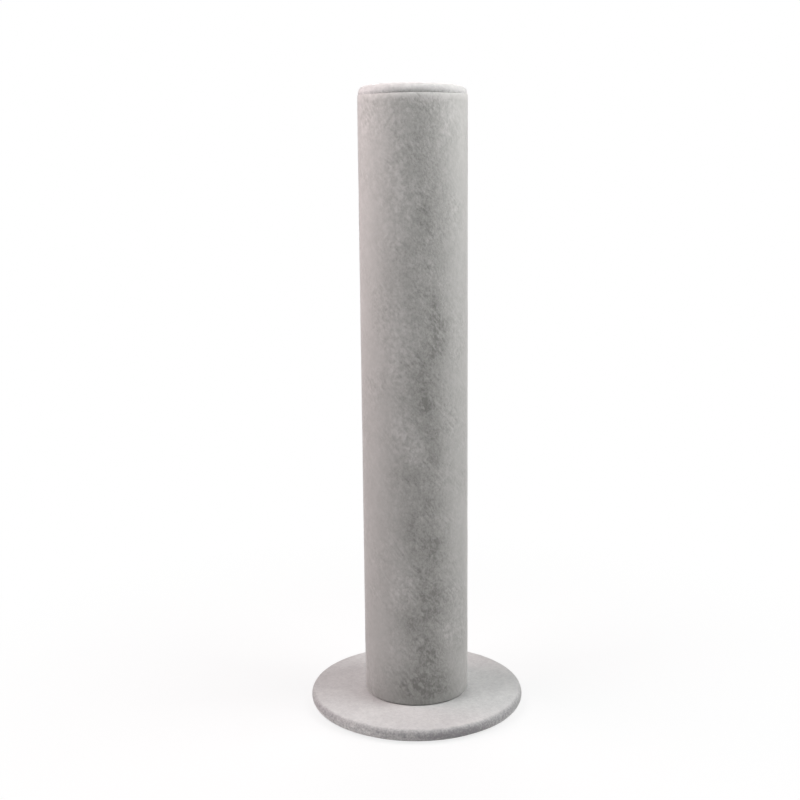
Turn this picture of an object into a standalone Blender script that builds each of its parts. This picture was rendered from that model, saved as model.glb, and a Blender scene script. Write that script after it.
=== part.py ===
"""Bracelet display rack: a velvet-covered column on a thin round base, closed by a covered cap disc.

The object stands on z = 0 with its axis on Z and its front towards -Y. All sizes are in metres.
"""

import math
from collections import namedtuple

import bmesh
import bpy
from mathutils import Matrix, Vector

# Covers, and the clearances that touching pieces keep
VELVET = 0.0009
GLUE_GAP = 0.0003
SCREW_CLEARANCE = 0.0003
BUTT_SEAM_WIDTH = 0.0004

# Column
COLUMN_DIAMETER = 0.0510
COLUMN_LENGTH = 0.2880
COLUMN_EDGE_RADIUS = 0.0013
RIM_TURN_IN = 0.010
FOOT_TURN_UNDER = 0.008
TUBE_WALL = 0.0020
TOP_PLUG_LENGTH = 0.009
BOTTOM_PLUG_END_WALL = 0.0015

# Base
BASE_DIAMETER = 0.1050
BASE_BOARD_THICKNESS = 0.0030
BASE_TURN_UNDER = 0.012
UNDERLAY_THICKNESS = 0.0009
UNDERLAY_INSET = 0.0030

# Cap
CAP_INSET = 0.0003
CAP_TOP_RADIUS = 0.0035
CAP_FOOT_RADIUS = 0.0005
CAP_CROWN = 0.0008
CAP_TURN_UNDER = 0.007
CAP_BOARD_THICKNESS = 0.0008
CAP_PAD_EDGE_THICKNESS = 0.0005

# Countersunk wood screws, driven in from below
SCREW_COUNT = 3
SCREW_HEM_DISTANCE = 0.0053
SCREW_LENGTH = 0.016
SCREW_DIAMETER = 0.0035
SCREW_HEAD_DIAMETER = 0.0070
SCREW_HEAD_RIM = 0.0003
SCREW_HEAD_SINK = 0.0002
SCREW_POINT_LENGTH = 0.0030
SCREW_TIP_DIAMETER = 0.0006
PILOT_END_ROOM = 0.0010
RECESS_SPAN = 0.0038
RECESS_SLOT = 0.0009
RECESS_DEPTH = 0.0013

# Roundness of the model
ROUND_SIDES = 56
SCREW_SIDES = 20
ARC_STEP_RADIUS = 0.0006
CROWN_STEPS = 3
PAD_EDGE_STEPS = 3
SHARP_ANGLE = math.radians(35)
MERGE_DISTANCE = 0.00001
CUT_MARGIN = 0.002

# Heights, stacked up from the surface that the object stands on
BASE_COVER_FOOT = UNDERLAY_THICKNESS + GLUE_GAP
BOARD_FOOT = BASE_COVER_FOOT + VELVET + GLUE_GAP
BOARD_TOP = BOARD_FOOT + BASE_BOARD_THICKNESS
BASE_TOP = BOARD_TOP + GLUE_GAP + VELVET
SLEEVE_FOOT = BASE_TOP + GLUE_GAP
TUBE_FOOT = SLEEVE_FOOT + VELVET + GLUE_GAP
SLEEVE_TOP = SLEEVE_FOOT + COLUMN_LENGTH
TUBE_TOP = SLEEVE_TOP - VELVET - GLUE_GAP
CAP_FOOT = SLEEVE_TOP + GLUE_GAP
CAP_BOARD_FOOT = CAP_FOOT + VELVET + GLUE_GAP
CAP_BOARD_TOP = CAP_BOARD_FOOT + CAP_BOARD_THICKNESS
CAP_PAD_FOOT = CAP_BOARD_TOP + GLUE_GAP
CAP_PAD_SHOULDER = CAP_PAD_FOOT + CAP_PAD_EDGE_THICKNESS
CAP_SHOULDER = CAP_PAD_SHOULDER + GLUE_GAP + VELVET
SCREW_FACE = BOARD_FOOT + SCREW_HEAD_SINK
SCREW_TIP = SCREW_FACE + SCREW_LENGTH
PILOT_END = SCREW_TIP + PILOT_END_ROOM
BOTTOM_PLUG_TOP = PILOT_END + BOTTOM_PLUG_END_WALL

# Radii, worked inwards from the covered outside
BASE_RADIUS = BASE_DIAMETER / 2
BOARD_RADIUS = BASE_RADIUS - VELVET - GLUE_GAP
UNDERLAY_RADIUS = BASE_RADIUS - UNDERLAY_INSET
COLUMN_RADIUS = COLUMN_DIAMETER / 2
TUBE_RADIUS = COLUMN_RADIUS - VELVET - GLUE_GAP
TUBE_BORE_RADIUS = TUBE_RADIUS - TUBE_WALL
BOTTOM_PLUG_RADIUS = TUBE_BORE_RADIUS - GLUE_GAP
LAP_RADIUS = TUBE_BORE_RADIUS - GLUE_GAP
LAP_BORE_RADIUS = LAP_RADIUS - VELVET
TOP_PLUG_RADIUS = LAP_BORE_RADIUS - GLUE_GAP
FOOT_HEM_RADIUS = TUBE_RADIUS - FOOT_TURN_UNDER
SCREW_CIRCLE_RADIUS = FOOT_HEM_RADIUS - SCREW_HEM_DISTANCE
SCREW_HOLE_RADIUS = SCREW_DIAMETER / 2 + SCREW_CLEARANCE
HEAD_HOLE_RADIUS = SCREW_HEAD_DIAMETER / 2 + SCREW_CLEARANCE
CAP_RADIUS = COLUMN_RADIUS - CAP_INSET
CAP_EDGE_RADIUS = min(CAP_TOP_RADIUS, CAP_SHOULDER - CAP_FOOT - CAP_FOOT_RADIUS)
CAP_SHOULDER_RADIUS = CAP_RADIUS - CAP_EDGE_RADIUS

# Colour, roughness and metallic value of what each piece is made of
Stuff = namedtuple("Stuff", "colour roughness metallic")
VELVET_GREY = Stuff((0.46, 0.455, 0.445), 0.95, 0.0)
FELT_GREY = Stuff((0.27, 0.265, 0.26), 1.0, 0.0)
MDF_BROWN = Stuff((0.40, 0.27, 0.16), 0.85, 0.0)
PLUG_WOOD = Stuff((0.58, 0.42, 0.25), 0.7, 0.0)
KRAFT_PAPER = Stuff((0.42, 0.29, 0.17), 0.9, 0.0)
GREYBOARD = Stuff((0.30, 0.30, 0.28), 0.9, 0.0)
WHITE_FOAM = Stuff((0.80, 0.79, 0.74), 0.95, 0.0)
ZINC_STEEL = Stuff((0.62, 0.60, 0.55), 0.35, 1.0)


def clear_scene():
    """Remove every object that the startup file holds."""
    for obj in list(bpy.data.objects):
        bpy.data.objects.remove(obj, do_unlink=True)


def new_collection(name):
    """Return a new collection that is linked to the scene."""
    collection = bpy.data.collections.new(name)
    bpy.context.scene.collection.children.link(collection)
    return collection


def material_of(name, stuff):
    """Return a Principled material for a piece."""
    material = bpy.data.materials.new(name)
    material.use_nodes = True
    material.diffuse_color = (*stuff.colour, 1.0)
    shader = material.node_tree.nodes["Principled BSDF"]
    shader.inputs["Base Color"].default_value = (*stuff.colour, 1.0)
    shader.inputs["Roughness"].default_value = stuff.roughness
    shader.inputs["Metallic"].default_value = stuff.metallic
    return material


def corner_arc(before, corner, after, radius):
    """Return the points of the fillet at a corner, with more of them on a wider one."""
    to_before = (before - corner).normalized()
    to_after = (after - corner).normalized()
    half_angle = to_before.angle(to_after) / 2
    reach = radius / math.tan(half_angle)
    centre = corner + (to_before + to_after).normalized() * (radius / math.sin(half_angle))
    start = corner + to_before * reach - centre
    sweep = start.angle_signed(corner + to_after * reach - centre)
    steps = math.ceil(radius / ARC_STEP_RADIUS)
    turns = (Matrix.Rotation(-sweep * step / steps, 2) for step in range(steps + 1))
    return [centre + turn @ start for turn in turns]


def fillet_limit(here, neighbour, radius, neighbour_radius):
    """Return how large a fillet may be on a run that it shares with its neighbour's fillet."""
    return (neighbour - here).length * radius / (radius + max(neighbour_radius, 0.0))


def rounded_outline(corners, closed=False):
    """Return (x, z) points through corners given as (x, z), or as (x, z, radius) where they are filleted."""
    places = [Vector(corner[:2]) for corner in corners]
    radii = [corner[2] if len(corner) > 2 else 0.0 for corner in corners]
    points = []
    for index, radius in enumerate(radii):
        here = places[index]
        at_end = not closed and index in (0, len(corners) - 1)
        if at_end or radius <= 0:
            arc = [here]
        else:
            following = (index + 1) % len(corners)
            before, after = places[index - 1], places[following]
            limit_before = fillet_limit(here, before, radius, radii[index - 1])
            limit_after = fillet_limit(here, after, radius, radii[following])
            arc = corner_arc(before, here, after, min(radius, limit_before, limit_after))
        if points and (points[-1] - arc[0]).length < MERGE_DISTANCE:
            arc = arc[1:]
        points.extend(arc)
    return points


def crowned(radius, shoulder):
    """Return the points of the cap's crown from its centre outwards, up to but without its shoulder."""
    shares = (step / CROWN_STEPS for step in range(CROWN_STEPS))
    return [Vector((radius * share, shoulder + CAP_CROWN * (1 - share**2))) for share in shares]


def linked(name, mesh, stuff, collection):
    """Return an object for a mesh, which wears a material of its own or, with no stuff, is a cutter."""
    obj = bpy.data.objects.new(name, mesh)
    collection.objects.link(obj)
    if stuff is None:
        obj.hide_render = True
        obj.display_type = "WIRE"
    else:
        mesh.materials.append(material_of(name, stuff))
    return obj


def turned(name, points, stuff, collection, closed=False, sides=ROUND_SIDES):
    """Return a piece turned about Z from an outline that runs down its outer side."""
    mesh = bpy.data.meshes.new(name)
    edges = [(index, index + 1) for index in range(len(points) - 1)]
    if closed:
        edges.append((len(points) - 1, 0))
    mesh.from_pydata([(x, 0.0, z) for x, z in points], edges, [])
    obj = linked(name, mesh, stuff, collection)
    screw = obj.modifiers.new("turning", "SCREW")
    screw.steps = sides
    screw.render_steps = sides
    screw.use_merge_vertices = True
    screw.merge_threshold = MERGE_DISTANCE
    return obj


def disc(name, radius, foot, top, stuff, collection, edge_radius=0.0):
    """Return a solid disc between two heights, with its rims rounded where a radius is given."""
    corners = [(0, top), (radius, top, edge_radius), (radius, foot, edge_radius), (0, foot)]
    return turned(name, rounded_outline(corners), stuff, collection)


def box_cutter(name, low, high, collection):
    """Return a cutter that fills the box between two corners."""
    mesh = bpy.data.meshes.new(name)
    shape = bmesh.new()
    bmesh.ops.create_cube(shape, size=1.0)
    bmesh.ops.scale(shape, vec=Vector(high) - Vector(low), verts=shape.verts)
    bmesh.ops.translate(shape, vec=(Vector(high) + Vector(low)) / 2, verts=shape.verts)
    shape.to_mesh(mesh)
    shape.free()
    return linked(name, mesh, None, collection)


def cut(piece, cutters):
    """Cut each cutter out of a piece."""
    for cutter in cutters:
        boolean = piece.modifiers.new(cutter.name, "BOOLEAN")
        boolean.operation = "DIFFERENCE"
        boolean.solver = "EXACT"
        boolean.object = cutter


def screw_places():
    """Return the (x, y, turn) of each screw, the first one towards the back."""
    turns = [math.pi / 2 + 2 * math.pi * index / SCREW_COUNT for index in range(SCREW_COUNT)]
    radius = SCREW_CIRCLE_RADIUS
    return [(radius * math.cos(turn), radius * math.sin(turn), turn) for turn in turns]


def cutters_at_screws(name, outline, cutters):
    """Return a turned cutter at each screw's place."""
    made = []
    for index, (x, y, _) in enumerate(screw_places(), start=1):
        cutter = turned(f"{name}_{index}", outline, None, cutters, sides=SCREW_SIDES)
        cutter.location = (x, y, 0)
        made.append(cutter)
    return made


def round_hole(foot, top):
    """Return the outline of a plain screw hole between two heights."""
    return [(0, top), (SCREW_HOLE_RADIUS, top), (SCREW_HOLE_RADIUS, foot), (0, foot)]


def base_underlay(parts):
    """Felt disc that hides the screws and is what the object stands on."""
    return disc("base_underlay", UNDERLAY_RADIUS, 0, UNDERLAY_THICKNESS, FELT_GREY, parts)


def base_board(parts, cutters):
    """Round-edged board with a countersunk hole for each screw."""
    edge = BASE_BOARD_THICKNESS / 2
    board = disc("base_board", BOARD_RADIUS, BOARD_FOOT, BOARD_TOP, MDF_BROWN, parts, edge)
    cone_foot = SCREW_FACE + SCREW_HEAD_RIM
    cone_top = cone_foot + HEAD_HOLE_RADIUS - SCREW_HOLE_RADIUS
    countersink = [
        (0, BOARD_TOP + CUT_MARGIN),
        (SCREW_HOLE_RADIUS, BOARD_TOP + CUT_MARGIN),
        (SCREW_HOLE_RADIUS, cone_top),
        (HEAD_HOLE_RADIUS, cone_foot),
        (HEAD_HOLE_RADIUS, BOARD_FOOT - CUT_MARGIN),
        (0, BOARD_FOOT - CUT_MARGIN),
    ]
    cut(board, cutters_at_screws("countersink", countersink, cutters))
    return board


def base_cover(parts, cutters):
    """Velvet drawn over the board, round its edge and under it, pierced by the screws."""
    edge = (BASE_TOP - BASE_COVER_FOOT) / 2
    hem = BASE_RADIUS - BASE_TURN_UNDER
    inner = BASE_RADIUS - VELVET
    corners = [
        (0, BASE_TOP),
        (BASE_RADIUS, BASE_TOP, edge),
        (BASE_RADIUS, BASE_COVER_FOOT, edge),
        (hem, BASE_COVER_FOOT),
        (hem, BASE_COVER_FOOT + VELVET),
        (inner, BASE_COVER_FOOT + VELVET, edge - VELVET),
        (inner, BASE_TOP - VELVET, edge - VELVET),
        (0, BASE_TOP - VELVET),
    ]
    cover = turned("base_velvet", rounded_outline(corners), VELVET_GREY, parts)
    hole = round_hole(BOARD_TOP, BASE_TOP + CUT_MARGIN)
    cut(cover, cutters_at_screws("cover_hole", hole, cutters))
    return cover


def base_screws(parts, cutters):
    """Countersunk screws with a cross recess, heads down, sunk just inside the board's underside."""
    shank = SCREW_DIAMETER / 2
    head = SCREW_HEAD_DIAMETER / 2
    cone_foot = SCREW_FACE + SCREW_HEAD_RIM
    outline = [
        (0, SCREW_TIP),
        (SCREW_TIP_DIAMETER / 2, SCREW_TIP),
        (shank, SCREW_TIP - SCREW_POINT_LENGTH),
        (shank, cone_foot + head - shank),
        (head, cone_foot),
        (head, SCREW_FACE),
        (0, SCREW_FACE),
    ]
    slot_sizes = {"across": (RECESS_SPAN, RECESS_SLOT), "along": (RECESS_SLOT, RECESS_SPAN)}
    screws = []
    for index, (x, y, turn) in enumerate(screw_places(), start=1):
        screw = turned(f"base_screw_{index}", outline, ZINC_STEEL, parts, sides=SCREW_SIDES)
        screw.location = (x, y, 0)
        slots = []
        for side, (width, depth) in slot_sizes.items():
            low = (-width / 2, -depth / 2, SCREW_FACE - CUT_MARGIN)
            high = (width / 2, depth / 2, SCREW_FACE + RECESS_DEPTH)
            slot = box_cutter(f"recess_{index}_{side}", low, high, cutters)
            slot.location = (x, y, 0)
            slot.rotation_euler.z = turn
            slots.append(slot)
        cut(screw, slots)
        screws.append(screw)
    return screws


def column_tube(parts):
    """Wound paper tube that carries the sleeve."""
    wall = [
        (TUBE_RADIUS, TUBE_TOP),
        (TUBE_RADIUS, TUBE_FOOT),
        (TUBE_BORE_RADIUS, TUBE_FOOT),
        (TUBE_BORE_RADIUS, TUBE_TOP),
    ]
    return turned("column_tube", wall, KRAFT_PAPER, parts, closed=True)


def bottom_plug(parts, cutters):
    """Wooden disc glued into the tube's foot, with a blind pilot hole for each screw."""
    plug = disc("bottom_plug", BOTTOM_PLUG_RADIUS, TUBE_FOOT, BOTTOM_PLUG_TOP, PLUG_WOOD, parts)
    pilot = round_hole(TUBE_FOOT - CUT_MARGIN, PILOT_END)
    cut(plug, cutters_at_screws("pilot_hole", pilot, cutters))
    return plug


def top_plug(parts):
    """Wooden disc that traps the turned-in sleeve in the tube's head and carries the cap."""
    foot = SLEEVE_TOP - TOP_PLUG_LENGTH
    return disc("top_plug", TOP_PLUG_RADIUS, foot, SLEEVE_TOP, PLUG_WOOD, parts)


def column_sleeve(parts, cutters):
    """Velvet sleeve, turned in over the tube's rim, turned under at its foot and butted at the back."""
    lap_end = SLEEVE_TOP - RIM_TURN_IN
    inner = COLUMN_RADIUS - VELVET
    inner_edge = COLUMN_EDGE_RADIUS - VELVET
    corners = [
        (COLUMN_RADIUS, SLEEVE_TOP, COLUMN_EDGE_RADIUS),
        (COLUMN_RADIUS, SLEEVE_FOOT, COLUMN_EDGE_RADIUS),
        (FOOT_HEM_RADIUS, SLEEVE_FOOT),
        (FOOT_HEM_RADIUS, SLEEVE_FOOT + VELVET),
        (inner, SLEEVE_FOOT + VELVET, inner_edge),
        (inner, SLEEVE_TOP - VELVET, inner_edge),
        (LAP_RADIUS, SLEEVE_TOP - VELVET, inner_edge),
        (LAP_RADIUS, lap_end),
        (LAP_BORE_RADIUS, lap_end),
        (LAP_BORE_RADIUS, SLEEVE_TOP, COLUMN_EDGE_RADIUS),
    ]
    outline = rounded_outline(corners, closed=True)
    sleeve = turned("column_velvet", outline, VELVET_GREY, parts, closed=True)
    low = (-BUTT_SEAM_WIDTH / 2, 0, SLEEVE_FOOT - CUT_MARGIN)
    high = (BUTT_SEAM_WIDTH / 2, COLUMN_RADIUS + CUT_MARGIN, SLEEVE_TOP + CUT_MARGIN)
    cut(sleeve, [box_cutter("butt_seam", low, high, cutters)])
    return sleeve


def cap_cover(parts):
    """Velvet drawn over the cap's crowned pad, round its soft edge and under its board."""
    hem = CAP_RADIUS - CAP_TURN_UNDER
    inner = CAP_RADIUS - VELVET
    inner_shoulder = CAP_SHOULDER - VELVET
    corners = [
        (0, CAP_SHOULDER),
        (CAP_RADIUS, CAP_SHOULDER, CAP_EDGE_RADIUS),
        (CAP_RADIUS, CAP_FOOT, CAP_FOOT_RADIUS),
        (hem, CAP_FOOT),
        (hem, CAP_FOOT + VELVET),
        (inner, CAP_FOOT + VELVET, CAP_FOOT_RADIUS - VELVET),
        (inner, inner_shoulder, CAP_EDGE_RADIUS - VELVET),
        (0, inner_shoulder),
    ]
    side = rounded_outline(corners)[1:-1]
    outside = crowned(CAP_SHOULDER_RADIUS, CAP_SHOULDER)
    inside = crowned(CAP_SHOULDER_RADIUS, inner_shoulder)
    return turned("cap_velvet", outside + side + inside[::-1], VELVET_GREY, parts)


def cap_room(height):
    """Return the radius that is free inside the cap's cover at a height, less the glue gap."""
    arc = max(CAP_EDGE_RADIUS - VELVET - GLUE_GAP, 0.0)
    rise = max(height - CAP_SHOULDER + CAP_EDGE_RADIUS, 0.0)
    return CAP_SHOULDER_RADIUS + math.sqrt(max(arc**2 - rise**2, 0.0))


def cap_board(parts):
    """Thin greyboard disc that the cap's cover is glued round."""
    return disc("cap_board", cap_room(CAP_BOARD_TOP), CAP_BOARD_FOOT, CAP_BOARD_TOP, GREYBOARD, parts)


def cap_pad(parts):
    """Thin foam pad that follows the cover's crown and rounded edge."""
    points = crowned(CAP_SHOULDER_RADIUS, CAP_PAD_SHOULDER)
    for step in range(PAD_EDGE_STEPS + 1):
        height = CAP_PAD_SHOULDER - CAP_PAD_EDGE_THICKNESS * step / PAD_EDGE_STEPS
        points.append(Vector((cap_room(height), height)))
    points.append(Vector((0, CAP_PAD_FOOT)))
    return turned("cap_pad", points, WHITE_FOAM, parts)


def settle(piece):
    """Apply a piece's modifiers and shade it smooth up to its sharp edges."""
    graph = bpy.context.evaluated_depsgraph_get()
    outline = piece.data
    mesh = bpy.data.meshes.new_from_object(piece.evaluated_get(graph))
    piece.modifiers.clear()
    piece.data = mesh
    bpy.data.meshes.remove(outline)
    mesh.name = piece.name
    mesh.shade_smooth()
    mesh.set_sharp_from_angle(angle=SHARP_ANGLE)


def build():
    """Build the whole object, standing on z = 0."""
    clear_scene()
    parts = new_collection("bracelet_display_rack")
    cutters = new_collection("cutters")
    pieces = [
        base_underlay(parts),
        base_board(parts, cutters),
        base_cover(parts, cutters),
        *base_screws(parts, cutters),
        column_tube(parts),
        bottom_plug(parts, cutters),
        top_plug(parts),
        column_sleeve(parts, cutters),
        cap_cover(parts),
        cap_board(parts),
        cap_pad(parts),
    ]
    bpy.context.view_layer.update()
    for piece in pieces:
        settle(piece)


if __name__ == "__main__":
    build()
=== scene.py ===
"""Looks of a velvet-covered bracelet display column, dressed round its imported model.

The script keeps the model as its frame. It replaces the soft covers, the felt, the foam and the screws with
finely modelled pieces, gives every other node its own finish, and sets up a plain studio. Sizes are in
metres, and those of brush strokes in millimetres.
"""

import logging
import math
from dataclasses import dataclass, field, replace
from enum import Enum
from functools import reduce

import bmesh
import bpy
import numpy as np
from mathutils import Matrix, Vector


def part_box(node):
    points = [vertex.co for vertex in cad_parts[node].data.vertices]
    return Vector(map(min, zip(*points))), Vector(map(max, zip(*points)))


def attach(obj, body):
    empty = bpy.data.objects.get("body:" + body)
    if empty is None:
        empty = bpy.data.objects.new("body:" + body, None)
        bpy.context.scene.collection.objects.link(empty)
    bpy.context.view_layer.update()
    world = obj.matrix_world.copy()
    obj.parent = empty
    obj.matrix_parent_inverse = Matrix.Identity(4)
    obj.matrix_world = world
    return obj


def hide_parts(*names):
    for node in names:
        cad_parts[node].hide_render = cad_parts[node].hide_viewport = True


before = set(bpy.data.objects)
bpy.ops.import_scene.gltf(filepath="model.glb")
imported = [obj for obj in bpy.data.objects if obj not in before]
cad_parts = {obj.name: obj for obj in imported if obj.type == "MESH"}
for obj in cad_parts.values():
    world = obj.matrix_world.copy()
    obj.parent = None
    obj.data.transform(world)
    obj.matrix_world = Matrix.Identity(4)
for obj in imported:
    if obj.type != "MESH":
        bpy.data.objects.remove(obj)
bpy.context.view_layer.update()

LOG = logging.getLogger("bracelet_display")
BODY = "root"
PHOTO_PIXELS = 800
MM = 0.001
FULL_TURN = 2 * math.pi

# Which inputs of a Mix node take its two colours, and which output gives the result
MIX_FIRST = 6
MIX_SECOND = 7
MIX_RESULT = 2

# How hard a brush stroke's edge is, and what the strokes' sum is kept between
STROKE_HARDNESS = 1.3
STROKE_LIMITS = (-1.0, 1.4)

# At which height the strokes' copies start over from below, and how strong they are
COPY_HEIGHT = 295
COPY_STRENGTH = 0.8

# Numbers that a mesh carries for its pile; the brushed and splayed numbers also carry painted light and
# shade
PILE = "pile"
SPLAY_AND_PAINTED_LIGHT = "splay_and_painted_light"
STROKES = "strokes"
BRUSHED_AND_PAINTED_LIGHT = "brushed"
CALM = "calm"

Colour = tuple[float, float, float]
Socket = bpy.types.NodeSocket
Mesh = bpy.types.Mesh
Piece = bpy.types.Object

# The lighter colour's share and the bump's height
Pattern = tuple[Socket, Socket]


class Nap(Enum):
    """How a velvet's pile lies, as the stretch of its pattern along x, y and z."""

    DOWN = (1.0, 1.0, 0.80)
    LEVEL = (1.0, 1.0, 1.0)


class Lay(Enum):
    """How a cover is held, in the words that the sheet declaration takes."""

    STRETCHED = "stretched"
    LAID = "laid"


class NodeBench:
    """Adds nodes to one tree. What their inputs get is a socket, which is linked, or a plain value."""

    def __init__(self, tree: bpy.types.NodeTree) -> None:
        """Start on a shader or geometry tree."""
        self.tree = tree

    def feed(self, socket: Socket, value: object) -> None:
        """Link a socket to another one, or set its plain value.

        Args:
            socket: The input to feed.
            value: An output socket or a plain value.
        """
        if isinstance(value, Socket):
            self.tree.links.new(value, socket)
        else:
            socket.default_value = value

    def add(self, kind: str, given: dict | tuple = (), **settings: object) -> bpy.types.Node:
        """Add a node.

        Args:
            kind: The node's type name.
            given: What its inputs get, by name or number, or in order.
            **settings: Properties to set on the node first.

        Returns:
            The new node.
        """
        node = self.tree.nodes.new(kind)
        for name, value in settings.items():
            setattr(node, name, value)
        for key, value in given.items() if isinstance(given, dict) else enumerate(given):
            self.feed(node.inputs[key], value)
        return node

    def math(self, operation: str, *values: object) -> Socket:
        """Return the result of a Math node."""
        return self.add("ShaderNodeMath", values, operation=operation).outputs[0]

    def total(self, *values: object) -> Socket:
        """Return the sum of values."""
        return reduce(lambda first, second: self.math("ADD", first, second), values)

    def product(self, *values: object) -> Socket:
        """Return the product of values."""
        return reduce(lambda first, second: self.math("MULTIPLY", first, second), values)

    def vector(self, operation: str, *values: object) -> Socket:
        """Return the vector from a Vector Math node, in which SCALE takes its factor second."""
        keys = (0, "Scale" if operation == "SCALE" else 1)
        return self.add("ShaderNodeVectorMath", dict(zip(keys, values)), operation=operation).outputs[0]

    def split(self, vector: Socket) -> tuple[Socket, ...]:
        """Return a vector's x, y and z."""
        return tuple(self.add("ShaderNodeSeparateXYZ", (vector,)).outputs)

    def join(self, *values: object) -> Socket:
        """Return the vector of an x, a y and a z."""
        return self.add("ShaderNodeCombineXYZ", values).outputs[0]

    def from_axis(self, x: Socket, y: Socket) -> Socket:
        """Return the distance from the z axis."""
        return self.math("SQRT", self.total(self.product(x, x), self.product(y, y)))

    def ramp(self, *values: object) -> Socket:
        """Map a value smoothly, from a low and a high to two results, which are 0 and 1 where not given."""
        return self.add("ShaderNodeMapRange", values, interpolation_type="SMOOTHSTEP").outputs[0]

    def noise(self, place: Socket, size: object, detail: float = 2.0, seed: object = 0.0,
              distortion: float = 0.0, roughness: float = 0.5) -> Socket:
        """Add a noise whose features have a real size.

        Args:
            place: The place that is looked up.
            size: The size of its features in metres.
            detail: How many finer layers it has.
            seed: The fourth coordinate, which picks the pattern.
            distortion: How strongly the pattern is swirled.
            roughness: How much the finer layers count.

        Returns:
            The noise, which is about 0.5 on average.
        """
        scale = self.math("DIVIDE", 1.0, size) if isinstance(size, Socket) else 1.0 / size
        given = {"Vector": place, "W": seed, "Scale": scale, "Detail": detail, "Roughness": roughness,
                 "Distortion": distortion}
        return self.add("ShaderNodeTexNoise", given, noise_dimensions="4D").outputs[0]

    def swing(self, noise: Socket, depth: Socket) -> Socket:
        """Return a noise as a height that swings about zero, up to about a depth each way."""
        return self.product(self.math("SUBTRACT", noise, 0.5), 2.0, depth)


def new_material(name: str) -> tuple[bpy.types.Material, NodeBench, bpy.types.Node]:
    """Make a material.

    Args:
        name: The material's name.

    Returns:
        The material, a bench for its nodes and its Principled shader.
    """
    material = bpy.data.materials.new(name)
    material.use_nodes = True
    return material, NodeBench(material.node_tree), material.node_tree.nodes["Principled BSDF"]


@dataclass(frozen=True)
class Finish:
    """What every finish shares: a colour with a darker companion, and how rough and bumpy it is."""

    colour: Colour
    shade: Colour
    roughness: float
    bump: float

    def material(self, name: str) -> bpy.types.Material:
        """Make this finish's material.

        Args:
            name: The material's name.

        Returns:
            A material whose pattern reads Object coordinates.
        """
        material, bench, shader = new_material(name)
        material.diffuse_color = (*self.colour, 1.0)
        share, height = self.pattern(bench, bench.add("ShaderNodeTexCoord").outputs["Object"])
        colours = {"Factor": share, MIX_FIRST: (*self.shade, 1.0), MIX_SECOND: (*self.colour, 1.0)}
        blend = bench.add("ShaderNodeMix", colours, data_type="RGBA")
        relief = bench.add("ShaderNodeBump", {"Distance": self.bump, "Height": height})
        bench.feed(shader.inputs["Base Color"], blend.outputs[MIX_RESULT])
        bench.feed(shader.inputs["Normal"], relief.outputs[0])
        shader.inputs["Roughness"].default_value = self.roughness
        self.polish(shader)
        return material

    def pattern(self, bench: NodeBench, place: Socket) -> Pattern:
        """Lay out the finish's own pattern.

        Args:
            bench: Where its nodes are added.
            place: The Object coordinates.

        Returns:
            The lighter colour's share and the bump's height.
        """
        raise NotImplementedError

    def polish(self, shader: bpy.types.Node) -> None:
        """Set the shader's own constants, such as its sheen."""


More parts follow.
